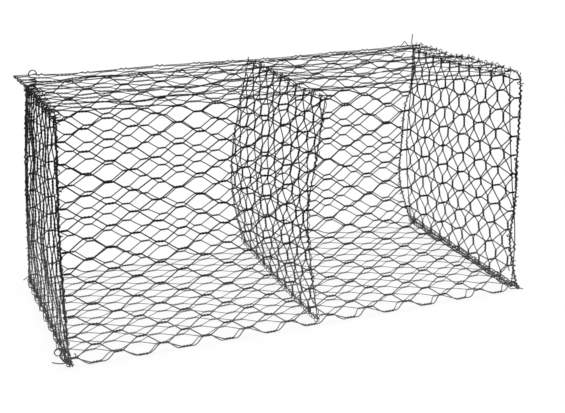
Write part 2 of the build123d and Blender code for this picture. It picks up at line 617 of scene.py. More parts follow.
        worn = np.concatenate([np.zeros(len(held) - len(self.tip_rust)), self.tip_rust])
        u = self.edge_of(side) + side.value * du
        v = np.tile(row, 2)[:, None] + arm * dv / self.row
        return Strands(u, v, arm * dw, Along.ROW, coil * thin, held, worn)


class Panel:
    """A sheet of mesh with a place in the basket: subclasses say where a flat place lies."""

    lattice: TwistMesh
    seed: int
    in_plane: float
    out_of_plane: float
    creep_waves = (0.5, 0.16)

    def place(self, u: Values, v: Values, w: Values) -> Array:
        """Give the basket's point for a flat place."""
        raise NotImplementedError

    def coat(self, v: Values) -> Values:
        """Give how thick the coat lies on the rows, as a share of the wire's diameter: here all of it."""
        return np.ones_like(v)

    def unevenness(self, a: Array, b: Array) -> list[Array]:
        """Read the slow unevenness at flat places in metres: two offsets in the sheet and one out of it."""
        creep = [Wander(self.seed + step, self.in_plane, *self.creep_waves).over(a, b) for step in (0, 1)]
        return [*creep, Wander(self.seed + 2, self.out_of_plane).over(a, b)]

    def toward(self, u: Values, v: Values, w: Values, along: Along) -> Array:
        """Give a direction of the sheet, of length one: from the place a small step before to that after."""
        du, dv, dw = along.value
        return unit(self.place(u + du, v + dv, w + dw) - self.place(u - du, v - dv, w - dw))

    def lay(self, bundle: WireBundle, strands: Strands) -> None:
        """Add flat wires to a bundle, at their places in the basket.

        Args:
            bundle: The bundle that they join.
            strands: The wires, laid out flat.
        """
        flat = (strands.u, strands.v, strands.w)
        guide = self.toward(*flat, strands.guide)
        radius = strands.radius * self.coat(strands.v)
        bundle.carry(
            self.place(*flat), guide, radius, keep=strands.keep, grime=strands.grime, bare=strands.bare
        )

    def net(
        self, name: str, first: float, last: float, wound: Sequence[float], edges: Sequence[bool]
    ) -> WireBundle:
        """Gather the mesh between two rows.

        Args:
            name: The face's or panel's name.
            first: The row after which the twists start.
            last: The row before which they stop.
            wound: How much of the usual winding the wire ends get on the left and on the right side.
            edges: False for the strands round the selvedge on row 0, true for those on the last row.

        Returns:
            The bundle.
        """
        bundle = WireBundle(f"{name}_double_twist")
        self.lay(bundle, self.lattice.through_wires(first, last))
        for side, much in zip(Side, wound):
            self.lay(bundle, self.lattice.cut_ends(side, first, last, much))
        for at_end in edges:
            self.lay(bundle, self.lattice.selvedge_strands(at_end))
        return bundle

    def selvedge_wire(self, name: str, u: Values, v: Values, guide: Along, share: Values) -> WireBundle:
        """Gather one selvedge wire.

        Args:
            name: The piece's name.
            u: Metres along the twists, at each station.
            v: Rows across them.
            guide: A direction of the sheet that the wire doesn't run along.
            share: How much of its full thickness it has.

        Returns:
            The bundle.
        """
        bundle = WireBundle(name)
        across = self.toward(u, v, 0.0, guide)
        radius = self.lattice.selvedge / 2 * share
        bundle.carry(self.place(u, v, 0.0), across, radius, EDGE_SIDES, grime=EDGE_GRIME)
        return bundle


@dataclass(frozen=True)
class Finishes:
    """The materials of the three kinds of wire."""

    mesh: Material
    edge: Material
    tie: Material


@dataclass
class FoldedSheet(Panel):
    """The one length of mesh that is folded into back, base, front and lid."""

    rack: Rack
    lattice: TwistMesh = TwistMesh(columns=22, rows=45.5, length=1.9902, row=0.0866, stub=0.0145)
    half_depth: float = 0.4965
    floor_height: float = 0.0080
    lid_height: float = 0.9970
    back_top: float = 0.9876
    fold_rows: Triple = (11.25, 22.68, 34.25)
    fold_radii: Triple = (0.022, 0.012, 0.038)
    fold_calm: tuple[float, float] = (0.1, 1.6)
    toe: float = 0.026
    toe_row: float = 22.5
    floor_rows: tuple[float, float] = (11.0, 23.0)
    floor_ease: float = 0.6
    floor_billow: float = 0.5
    worn_share: float = 0.32
    seed: int = 11
    in_plane: float = 0.0026
    out_of_plane: float = 0.0042
    side_margin: float = 0.12
    side_billow: float = 0.35
    free_edge_rows: float = 2.0
    free_edge_calm: float = 0.75
    front_sag: Curve = Curve((0.0, 0.010, 0.016, 0.011, 0.009, 0.0))
    lid_free_rise: Curve = Curve(
        (0.033, 0.028, 0.026, 0.022, 0.011, 0.007, 0.009, 0.012),
        (0.0, 0.1, 0.25, 0.4, 0.55, 0.7, 0.85, 1.0),
    )
    lid_right_rise: Curve = Curve(
        (0.0, 0.008, 0.006, 0.007, -0.009, -0.002, -0.002, -0.006),
        (0.0, 0.2, 0.33, 0.46, 0.62, 0.75, 0.9, 1.0),
    )
    lid_right_from: float = 0.76
    lid_tip: Triple = (-0.048, 0.016, 0.006)
    lid_tip_to: float = 0.22
    lid_swell: float = 0.004
    swell_turns: float = 2.3
    swell_start: float = 0.2
    lid_ripple: float = 0.0050
    ripple_turns: tuple[tuple[float, float], ...] = ((0.31, 0.9), (0.43, -1.3))
    ripple_start: tuple[float, float] = (0.02, 0.16)
    ripple_end: tuple[float, float] = (1.0, 0.88)
    ripple_side: float = 0.10
    back_right_bow: Curve = Curve(
        (0.014, 0.011, 0.0, -0.034, -0.052, -0.064, 0.0),
        (0.0, 0.1, 0.2, 0.31, 0.5, 0.75, 1.0),
    )
    front_right_bow: Curve = Curve(
        (0.0, -0.021, -0.034, -0.032, -0.017, -0.007, -0.003, 0.005, 0.014, 0.014),
        (0.0, 0.12, 0.2, 0.28, 0.36, 0.45, 0.6, 0.75, 0.9, 1.0),
    )
    front_left_bow: Curve = Curve((0.0, -0.006, -0.011, -0.008, 0.0))
    right_bow_reach: float = 0.8
    left_bow_reach: float = 0.5
    rim_overhang: float = 0.006
    rim_stations: int = 180
    stations_a_row: int = 12

    def place(self, u: Values, v: Values, w: Values) -> Array:
        """Fold a flat place into the basket.

        Along the rows the sheet follows the folded section, with a rounded toe at the front of the base. Slow
        unevenness is added in the sheet and out of it, then the lid's own springing, then the basket's
        racking.

        Args:
            u: Metres along the twists, from the left side.
            v: Rows from the top of the back.
            w: Metres outwards.

        Returns:
            Points in the basket's frame.
        """
        u, v, w = np.broadcast_arrays(u, v, w)
        rows, row, length = self.lattice.rows, self.lattice.row, self.lattice.length
        slide, shear, billow = self.unevenness(u, np.clip(v, 0.0, rows) * row)
        margin = plateau(u, 0.0, length, self.side_margin)
        x = u - length / 2 + shear * margin + self._side_bow(u, v)
        v = v + slide * margin / row * plateau(v, 0.0, rows, 1.0)
        y, z, heading = self._section(v)
        y = y - self.toe * np.cos(math.pi * np.clip(v - self.toe_row, -0.5, 0.5)) ** 2
        floor = plateau(v, *self.floor_rows, self.floor_ease)
        billow = billow * (1.0 - floor) - floor * np.abs(billow) * self.floor_billow
        seams = np.prod([ease(np.abs(v - fold), *self.fold_calm) for fold in self.fold_rows], axis=0)
        calm = 1.0 - self.free_edge_calm * ease(v, rows - self.free_edge_rows, rows)
        lift = w + billow * seams * calm * (self.side_billow + (1.0 - self.side_billow) * margin)
        points = np.stack([x, y - lift * np.sin(heading), z + lift * np.cos(heading)], axis=-1)
        points = self.rack.apply(points) + self._springing(u, v)
        return above_ground(points, self.lattice.wire / 2 + OFF_GROUND)

    def _section(self, v: Array) -> tuple[Array, Array, Array]:
        """Follow the section back, base, front, lid.

        It runs straight from corner to corner, and on past both ends. Near each fold the heading turns evenly
        by a right angle and the place is the arc's centre + radius * outward.

        Args:
            v: Rows from the top of the back.

        Returns:
            Depth, height and heading on each row.
        """
        corners = np.array(
            [
                (self.half_depth, self.back_top),
                (self.half_depth, self.floor_height),
                (-self.half_depth, self.floor_height),
                (-self.half_depth, self.lid_height),
                (self.half_depth, self.lid_height),
            ]
        )
        row, rows = self.lattice.row, self.lattice.rows
        stations = np.array([0.0, *self.fold_rows, rows])
        y = np.interp(v, stations, corners[:, 0]) + np.maximum(v - rows, 0.0) * row
        z = np.interp(v, stations, corners[:, 1]) - np.minimum(v, 0.0) * row
        heading = np.full(v.shape, -QUARTER)
        for turns, (fold, radius) in enumerate(zip(self.fold_rows, self.fold_radii), start=1):
            from_fold = (v - fold) * row
            start = -QUARTER * turns
            bend = start - QUARTER * np.clip((from_fold + radius) / (2.0 * radius), 0.0, 1.0)
            heading = np.where(from_fold > -radius, bend, heading)
            ahead = np.array([math.cos(start), math.sin(start)])
            out = np.array([-math.sin(start), math.cos(start)])
            centre = corners[turns] - radius * (ahead + out)
            bent = np.abs(from_fold) < radius
            y = np.where(bent, centre[0] - radius * np.sin(bend), y)
            z = np.where(bent, centre[1] + radius * np.cos(bend), z)
        return y, z, heading

    def coat(self, v: Values) -> Values:
        """Give how thick the coat lies: over one row it eases thinner on the base and on the lid.

        Args:
            v: Rows from the top of the back.

        Returns:
            The coated wire's thickness as a share of the full one.
        """
        base_start, base_end, lid_start = self.fold_rows
        rubbed = plateau(v, base_start, base_end, 1.0) + ease(v, lid_start, lid_start + 1.0)
        return 1.0 - self.worn_share * rubbed

    def _side_bow(self, u: Array, v: Array) -> Array:
        """Give how far the sides are drawn in: smooth curves down the back and up the front.

        The right side's curves fade to nothing a reach in from it, and so does that of the front's left side.

        Args:
            u: Metres along the twists.
            v: Rows from the top of the back.

        Returns:
            Shifts along the basket, in metres.
        """
        length = self.lattice.length
        down_back, up_front = portion(v, 0.0, self.fold_rows[0]), portion(v, *self.fold_rows[1:])
        right = self.back_right_bow.read(down_back) + self.front_right_bow.read(up_front)
        left = self.front_left_bow.read(up_front)
        near_left = ease(u, self.left_bow_reach, 0.0)
        near_right = ease(u, length - self.right_bow_reach, length)
        return right * near_right + left * near_left

    def _springing(self, u: Array, v: Array) -> Array:
        """Give the lid's own shift: a sagging front edge, waving edges, a rippled middle and a back left tip.

        The heights along the fold, the free edge and the right side are smooth curves through a few values.
        The fold's fades down the front and over the lid by squares, the free edge's grows over the lid by the
        power of 1.5, and the right side's eases away inwards. The tip grows evenly from the fold. One sine
        wave swells the middle of the lid. Two slanting ones of two to three rows ripple it and ease away
        towards its edges.

        Args:
            u: Metres along the twists.
            v: Rows from the top of the back.

        Returns:
            Shifts in the basket's frame.
        """
        up_front = portion(v, *self.fold_rows[1:])
        opened = portion(v, self.fold_rows[2], self.lattice.rows)
        across = u / self.lattice.length
        swell = np.sin(math.pi * opened) * np.sin(TURN * (self.swell_turns * across + self.swell_start))
        ripple = sum(np.sin(TURN * (a_row * v + over * across)) for a_row, over in self.ripple_turns)
        calm = ease(opened, *self.ripple_start) * ease(opened, *self.ripple_end)
        calm = calm * plateau(across, 0.0, 1.0, self.ripple_side)
        tip = opened * ease(across, self.lid_tip_to, 0.0) ** 2
        shift = tip[..., None] * np.array(self.lid_tip)
        shift[..., 2] += (
            self.lid_free_rise.read(across) * opened**1.5
            - self.front_sag.read(across) * up_front**2 * (1.0 - opened) ** 2
            + self.lid_right_rise.read(opened) * ease(across, self.lid_right_from, 1.0)
            + self.lid_swell * swell
            + self.lid_ripple * ripple * calm
        )
        return shift

    def build(self, finishes: Finishes) -> list[Object]:
        """Make the sheet's pieces: the lid's rim rides on the lid's body, the pieces over the front top fold
        on none, the rest on the basket's.

        Args:
            finishes: The wires' finishes.

        Returns:
            The new pieces.
        """
        pieces = []
        rows, length, lid_row = self.lattice.rows, self.lattice.length, Face.LID.value[0]
        for face in Face:
            first, last, *wound = face.value
            name = face.name.lower()
            edges = [face is Face.LID] if face in (Face.BACK, Face.LID) else []
            nodes = [f"{name}_mesh_{bay}_bay" for bay in ("left", "right")]
            net = self.net(name, first, last, wound, edges)
            pieces.append(net.knit(finishes.mesh, "mesh_wire", nodes, bends=face is Face.LID))
        for side in Side:
            name = side.name.lower()
            for label, first, last, faces in (
                ("sheet", 0.0, lid_row, ("front", "base", "back")),
                ("lid", lid_row, rows, ("lid",)),
            ):
                edge = self.lattice.edge_of(side)
                v = np.linspace(first, last, int((last - first) * self.stations_a_row))
                wire = self.selvedge_wire(f"{label}_{name}_edge_wire", edge, v, Along.TWIST, self.coat(v))
                nodes = [f"{face}_{name}_selvedge" for face in faces]
                pieces.append(wire.knit(finishes.edge, "selvedge_wire", nodes, bends=label == "lid"))
        u = np.linspace(-self.rim_overhang, length + self.rim_overhang, self.rim_stations)
        for row, name, node, body in (
            (0.0, "back_rim_wire", "back_top_selvedge", "basket"),
            (rows, "lid_rim_wire", "lid_free_edge_selvedge", "lid"),
        ):
            wire = self.selvedge_wire(name, u, row, Along.OUT, self.coat(row))
            pieces.append(wire.knit(finishes.edge, "selvedge_wire", [node], body))
        return pieces


@dataclass
class UprightPanel(Panel):
    """An end panel or the diaphragm: mesh with upright twists in its own wire frame."""

    name: str
    at: float
    rack: Rack
    seed: int
    front_bow: Curve
    back_bow: Curve
    top_drop: Curve
    foot_back: float = 0.0
    belly: float = 0.0
    belly_rise: float = 0.33
    wire: float = 0.0053
    wound: tuple[float, float] = (0.4, 0.6)
    columns: int = 11
    rows: float = 10.5
    stub: float = 0.022
    half_depth: float = 0.488
    foot: float = 0.0150
    top: float = 0.9845
    corner_radius: float = 0.010
    tip: float = 0.016
    crown_share: float = 0.62
    crown_ease: float = 0.03
    in_plane: float = 0.0026
    out_of_plane: float = 0.0040
    calm_height: float = 0.14
    calm_rows: float = 1.6
    frame_stations: int = 420

    def __post_init__(self) -> None:
        """Space the lattice so that its rows and columns fill the frame."""
        deep = 2.0 * self.half_depth
        self.lattice = TwistMesh(self.columns, self.rows, self.tall, deep / self.rows, self.stub, self.wire)

    @property
    def tall(self) -> float:
        """The height from the foot to the top."""
        return self.top - self.foot

    def place(self, u: Values, v: Values, w: Values) -> Array:
        """Stand a flat place up in the basket.

        Height is foot + u, depth is the rows from the front, and x is the panel's place + w + a bow. The bow
        is a smooth curve up the front edge and one up the back edge, mixed by depth, with slow unevenness in
        between. A belly, four times the product of the shares from front and back, rises from the foot over a
        third of the height. The top edge drops by a smooth curve from front to back, which fades downwards as
        the cube of the height. The foot's back rises by the square of the share from the front times the
        share from the top.

        Args:
            u: Metres up from the foot.
            v: Rows from the front.
            w: Metres towards the right.

        Returns:
            Points in the basket's frame.
        """
        u, v, w = np.broadcast_arrays(u, v, w)
        deep = v * self.lattice.row
        inside = plateau(u, 0.0, self.tall, self.calm_height) * plateau(v, 0.0, self.rows, self.calm_rows)
        rise, drift, billow = (offset * inside for offset in self.unevenness(u, deep))
        up = portion(u, 0.0, self.tall)
        mix = v / self.rows
        bow = (1.0 - mix) * self.front_bow.read(up) + mix * self.back_bow.read(up)
        belly = self.belly * 4.0 * mix * (1.0 - mix) * ease(up, 0.0, self.belly_rise)
        x = self.at + w + billow + belly + bow
        z = self.foot + u + rise - self.top_drop.read(mix) * up**3 + self.foot_back * (mix * (1.0 - up)) ** 2
        points = self.rack.apply(np.stack([x, deep - self.half_depth + drift, z], axis=-1))
        return above_ground(points, self.wire / 2 + OFF_GROUND)

    def frame_wire(self) -> WireBundle:
        """Gather the frame wire, which is bent round the panel's four sides.

        The wire starts as a tip over the back top corner, goes down the back, along the foot, up the front
        and back along the top. Its line in the panel is straight from corner to corner, and near a corner it
        is pulled in by (radius - distance)^2 / (4 radius) along both sides, which rounds the corner. Along
        the top, where the lid rubs, the wire eases to a share of its thickness.

        Returns:
            The bundle.
        """
        tall, rows, row, radius = self.tall, self.rows, self.lattice.row, self.corner_radius
        back_top, front_top = (tall + self.tip, rows), (tall, rows + self.tip / row)
        knots = np.array([back_top, (0.0, rows), (0.0, 0.0), (tall, 0.0), front_top])
        lengths = np.linalg.norm(np.diff(knots * (1.0, row), axis=0), axis=1)
        marks = np.concatenate([[0.0], np.cumsum(lengths)])
        run = np.linspace(0.0, marks[-1], self.frame_stations)
        pull = np.maximum(radius - np.abs(run[:, None] - marks[1:4]), 0.0) ** 2 / (4.0 * radius)
        u = np.interp(run, marks, knots[:, 0]) + pull @ np.array([1.0, 1.0, -1.0])
        v = np.interp(run, marks, knots[:, 1]) + pull @ np.array([-1.0, 1.0, 1.0]) / row
        share = 1.0 - (1.0 - self.crown_share) * ease(run, marks[3], marks[3] + self.crown_ease)
        return self.selvedge_wire(f"{self.name}_frame_wire", u, v, Along.OUT, share)

    def build(self, finishes: Finishes) -> list[Object]:
        """Make the panel's mesh and frame wire, both riding on the basket.

        Args:
            finishes: The wires' finishes.

        Returns:
            The two pieces.
        """
        edges = [f"{self.name}_{part}_selvedge" for part in ("top", "bottom", "front", "back")]
        net = self.net(self.name, 0.0, self.rows, self.wound, (False, True))
        return [
            net.knit(finishes.mesh, "mesh_wire", [f"{self.name}_mesh"]),
            self.frame_wire().knit(finishes.edge, "selvedge_wire", edges),
        ]


@dataclass
class SeamLacing:
    """A lacing wire wound along a seam round the two edge wires that it joins."""

    name: str
    first: Array
    second: Array
    turns: float
    seed: int
    slack: float
    wire: float = 0.0032
    span: tuple[float, float] = (0.0, 1.0)
    body: str = "basket"
    bunching: float = 0.9
    swing: float = 0.5
    swing_waves: tuple[float, float] = (0.3, 0.08)
    loose_waves: tuple[float, float] = (0.2, 0.05)
    edge_radius: float = 0.00245
    lowest: float = 0.0019
    loosening: float = 0.35
    flatness: float = 0.8
    stations_a_turn: int = 14
    grime: float = 0.4
    bare_ends: float = 0.8
    bare_stations: int = 3

    def line(self) -> tuple[Array, Array]:
        """Work out the lacing's middle.

        Round the middle of the two edge wires it runs as middle + a * cos p * toward + b * sin p * across,
        where toward points from one edge wire to the other, a reaches round both and b round one. The angle p
        grows with the way along the seam and is swung to and fro, so that turns bunch in pairs with a long
        stride between. No point is lower than the ground allows.

        Returns:
            The lacing's points and the seam's direction at each.
        """
        stations = int(self.turns * self.stations_a_turn)
        t, still = np.linspace(*self.span, stations), np.zeros(stations)
        old = np.linspace(0.0, 1.0, len(self.first))
        one, two = (
            np.stack([np.interp(t, old, wire[:, axis]) for axis in range(3)], axis=-1)
            for wire in (self.first, self.second)
        )
        middle = (one + two) / 2
        ahead = unit(np.gradient(middle, axis=0))
        toward = two - one
        toward = toward - (toward * ahead).sum(axis=-1, keepdims=True) * ahead
        apart = np.linalg.norm(toward, axis=-1, keepdims=True)
        toward = unit(toward)
        across = np.cross(ahead, toward)
        swing = Wander(self.seed, self.swing, *self.swing_waves).over(t, still)
        looser = Wander(self.seed + 1, self.swing, *self.loose_waves).over(t, still)
        wound = TURN * self.turns * np.linspace(0.0, 1.0, stations)
        angle = (wound + self.bunching * np.sin(wound / 2.0) + swing)[:, None]
        hug = self.edge_radius + self.wire / 2
        slack = self.slack * (1.0 + self.loosening * looser[:, None])
        wide, tall = apart / 2 + hug + slack, hug + slack * self.flatness
        line = middle + wide * np.cos(angle) * toward + tall * np.sin(angle) * across
        return above_ground(line, self.lowest), ahead

    def build(self, finish: Material) -> Object:
        """Make the lacing, riding on its body.

        Args:
            finish: The lacing wire's finish.

        Returns:
            The new piece.
        """
        line, guide = self.line()
        bare = np.zeros((1, len(line)))
        bare[:, : self.bare_stations] = self.bare_ends
        bare[:, -self.bare_stations :] = self.bare_ends
        bundle = WireBundle(self.name)
        bundle.carry(line, guide, self.wire / 2, grime=self.grime, bare=bare)
        return bundle.knit(finish, "tie_wire", body=self.body)


@dataclass
class TieWire:
    """A loose end of tie wire: a smooth line through listed knots."""

    name: str
    knots: Sequence[Sequence[float]]
    guide: Triple
    wire: float = 0.0044
    stations: int = 60
    nodes: tuple[str, ...] = ()
    body: str = "basket"
    off_ground: float = 0.0002
    sides: int = 6
    bare_end: tuple[float, ...] = (0.2, 0.5, 0.9, 1.0)

    def build(self, finish: Material, rack: Rack) -> Object:
        """Make the wire, riding on its body.

        Args:
            finish: The tie wire's finish.
            rack: How the basket stands out of square, which the wire follows.

        Returns:
            The new piece.
        """
        line = above_ground(rack.apply(flowing(self.knots, self.stations)), self.wire / 2 + self.off_ground)
        bare = np.zeros((1, self.stations))
        bare[:, -len(self.bare_end) :] = self.bare_end
        bundle = WireBundle(self.name)
        bundle.carry(line, np.array(self.guide), self.wire / 2, self.sides, bare=bare)
        return bundle.knit(finish, "tie_wire", self.nodes, self.body)


@dataclass(frozen=True)
class NodeBench:
    """A node tree, with short ways to add its nodes."""

    tree: NodeTree

    def feed(self, node: Node, inputs: dict[str | int, object]) -> None:
        """Fill a node's inputs.

        Args:
            node: The node.
            inputs: What each input gets, by name or number: another node's socket, or a value.
        """
        for label, given in inputs.items():
            if isinstance(given, NodeSocket):
                self.tree.links.new(given, node.inputs[label])
            else:
                node.inputs[label].default_value = given

    def add(self, kind: str, inputs: dict[str | int, object] | None = None, **settings: object) -> Node:
        """Add a node.

        Args:
            kind: The node's type.
            inputs: What its inputs get.
            settings: Its own settings by name.

        Returns:
            The new node.
        """
        node = self.tree.nodes.new(kind)
        for label, value in settings.items():
            setattr(node, label, value)
        self.feed(node, inputs or {})
        return node

    def noise(self, at: NodeSocket, scale: float, detail: float) -> NodeSocket:
        """Add a noise of some scale and detail and give its value."""
        return self.add("ShaderNodeTexNoise", {"Vector": at, "Scale": scale, "Detail": detail}).outputs["Fac"]

    def spread(self, value: NodeSocket, low: float, high: float, start: float, end: float) -> NodeSocket:
        """Spread a value's range from low to high evenly over another, from start to end."""
        limits = {"From Min": low, "From Max": high, "To Min": start, "To Max": end}
        return self.add("ShaderNodeMapRange", {"Value": value, **limits}).outputs["Result"]

    def reckon(self, operation: str, *values: NodeSocket | float) -> NodeSocket:
        """Reckon with two or three values and cut the result to 0..1."""
        sums = self.add("ShaderNodeMath", dict(enumerate(values)), operation=operation, use_clamp=True)
        return sums.outputs["Value"]

    def tint(self, share: NodeSocket, first: NodeSocket, second: NodeSocket) -> NodeSocket:
        """Mix a share of the second colour into the first."""
        inputs = {"Factor": share, "A": first, "B": second}
        return self.add("ShaderNodeMix", inputs, data_type="RGBA").outputs["Result"]


class EffectGroups:
    """The shader groups that the wire finishes share."""

    def __init__(self) -> None:
        """Build both groups once."""
        self.coat = self._coat_skin()
        self.wear = self._handling_wear()

    @staticmethod
    def _group(name: str, inputs: dict[str, str], outputs: dict[str, str]) -> tuple[NodeBench, Node, Node]:
        """Start a shader group with named sockets.

        Args:
            name: The group's name.
            inputs: Kind of each socket that goes in, by name.
            outputs: Kind of each socket that comes out, by name.

        Returns:
            The group's bench and its two end nodes.
        """
        group = bpy.data.node_groups.new(name, "ShaderNodeTree")
        for direction, sockets in (("INPUT", inputs), ("OUTPUT", outputs)):
            for label, kind in sockets.items():
                group.interface.new_socket(label, in_out=direction, socket_type=f"NodeSocket{kind}")
        bench = NodeBench(group)
        return bench, bench.add("NodeGroupInput"), bench.add("NodeGroupOutput")

    def _coat_skin(self) -> NodeTree:
        """Make the dark coat: dull patches, fine grain, scuffs, and a paler tone near the ground, partly
        dust, partly painted floor-bounce light.

        Returns:
            A group that puts out a colour, a roughness and a height.
        """
        vectors = dict.fromkeys(("Place", "Wire"), "Vector")
        colours = dict.fromkeys(("Deep", "Pale", "Dust"), "Color")
        amounts = dict.fromkeys(("Dulling", "Dusting"), "Float")
        outputs = {"Color": "Color", "Roughness": "Float", "Height": "Float"}
        bench, entry, out = self._group("coat_skin", vectors | colours | amounts, outputs)
        given = entry.outputs
        place = given["Place"]
        along = bench.add("ShaderNodeMapping", {"Vector": given["Wire"], "Scale": (60.0, 4.0, 1.0)})
        height_up = bench.add("ShaderNodeSeparateXYZ", {"Vector": place}).outputs["Z"]
        blotch = bench.spread(bench.noise(place, 9.0, 4.0), 0.38, 0.64, 0.0, 1.0)
        rubbed = bench.spread(bench.noise(along.outputs["Vector"], 1.0, 3.0), 0.56, 0.68, 0.0, 0.5)
        ground_patches = bench.spread(bench.noise(place, 34.0, 3.0), 0.25, 0.55, 0.60, 1.0)
        # Paler towards the ground: partly dust, partly painted floor-bounce light that lifts the low wires.
        near_ground = bench.spread(height_up, 0.02, 0.46, 1.0, 0.0)
        dulled = bench.reckon("MULTIPLY", blotch, given["Dulling"])
        mottle = bench.reckon("MULTIPLY_ADD", bench.noise(place, 420.0, 2.0), 0.35, dulled)
        tone = bench.reckon("ADD", mottle, rubbed)
        dust_and_bounce = bench.reckon("MULTIPLY", bench.reckon("MULTIPLY", near_ground, ground_patches), given["Dusting"])
        coat = bench.tint(tone, given["Deep"], given["Pale"])
        results = {
            "Color": bench.tint(dust_and_bounce, coat, given["Dust"]),
            "Roughness": bench.spread(bench.reckon("ADD", tone, dust_and_bounce), 0.0, 1.0, 0.44, 0.70),
            "Height": bench.reckon("ADD", mottle, dust_and_bounce),
        }
        bench.feed(out, results)
        return bench.tree

    def _handling_wear(self) -> NodeTree:
        """Make the wear of use: dirt held where wires cross, and rust on cut ends.

        Returns:
            A group that puts out a colour and a roughness.
        """
        outputs = {"Color": "Color", "Roughness": "Float"}
        masks = {"Place": "Vector", "Grime": "Float", "Bare": "Float"}
        colours = dict.fromkeys(("Dirt", "Rust"), "Color")
        bench, entry, out = self._group("handling_wear", outputs | masks | colours, outputs)
        given = entry.outputs
        cling = bench.noise(given["Place"], 130.0, 3.0)
        dirty = bench.reckon("MULTIPLY", cling, given["Grime"])
        rusty = bench.reckon("MULTIPLY", bench.reckon("MULTIPLY", given["Bare"], 1.4), cling)
        stained = bench.tint(dirty, given["Color"], given["Dirt"])
        results = {
            "Color": bench.tint(rusty, stained, given["Rust"]),
            "Roughness": bench.reckon("MULTIPLY_ADD", dirty, 0.25, given["Roughness"]),
        }
        bench.feed(out, results)
        return bench.tree


@dataclass(frozen=True)
class WireFinish:
    """One kind of coated wire: its greys, its dulling, and a paler tone near the ground, partly dust, partly
    painted floor-bounce light.
    """

    name: str
    deep: float
    pale: float
    dulling: float
    dusting: float
    grain: float = 0.00018
    bump: float = 0.35
    sheen: float = 0.12
    # The paler grey near the ground: dust, and painted floor-bounce light.
    dust: Triple = (0.340, 0.340, 0.344)
    dirt: Triple = (0.020, 0.019, 0.018)
    rust: Triple = (0.085, 0.036, 0.016)

    def material(self, groups: EffectGroups) -> Material:
        """Make the finish.

        Args:
            groups: The shader groups that the finishes share.

        Returns:
            A material for every wire of this kind.
        """
        material = bpy.data.materials.new(self.name)
        material.use_nodes = True
        bench = NodeBench(material.node_tree)
        where = bench.add("ShaderNodeTexCoord").outputs
        coat = {
            "Place": where["Object"],
            "Wire": where["UV"],
            "Deep": (self.deep, self.deep, self.deep, 1.0),
            "Pale": (self.pale, self.pale, self.pale, 1.0),
            "Dust": (*self.dust, 1.0),
            "Dulling": self.dulling,
            "Dusting": self.dusting,
        }
        skin = bench.add("ShaderNodeGroup", coat, node_tree=groups.coat).outputs
        grime, bare = (
            bench.add("ShaderNodeAttribute", attribute_name=label).outputs["Fac"]
            for label in ("grime", "bare")
        )
        use = {
            "Color": skin["Color"],
            "Roughness": skin["Roughness"],
            "Place": where["Object"],
            "Grime": grime,
            "Bare": bare,
            "Dirt": (*self.dirt, 1.0),
            "Rust": (*self.rust, 1.0),
        }
        wear = bench.add("ShaderNodeGroup", use, node_tree=groups.wear).outputs
        relief = {"Strength": self.bump, "Distance": self.grain, "Height": skin["Height"]}
        surface = {
            "Base Color": wear["Color"],
            "Roughness": wear["Roughness"],
            "Normal": bench.add("ShaderNodeBump", relief).outputs["Normal"],
            "Specular IOR Level": self.sheen,
        }
        bench.feed(material.node_tree.nodes["Principled BSDF"], surface)
        return material


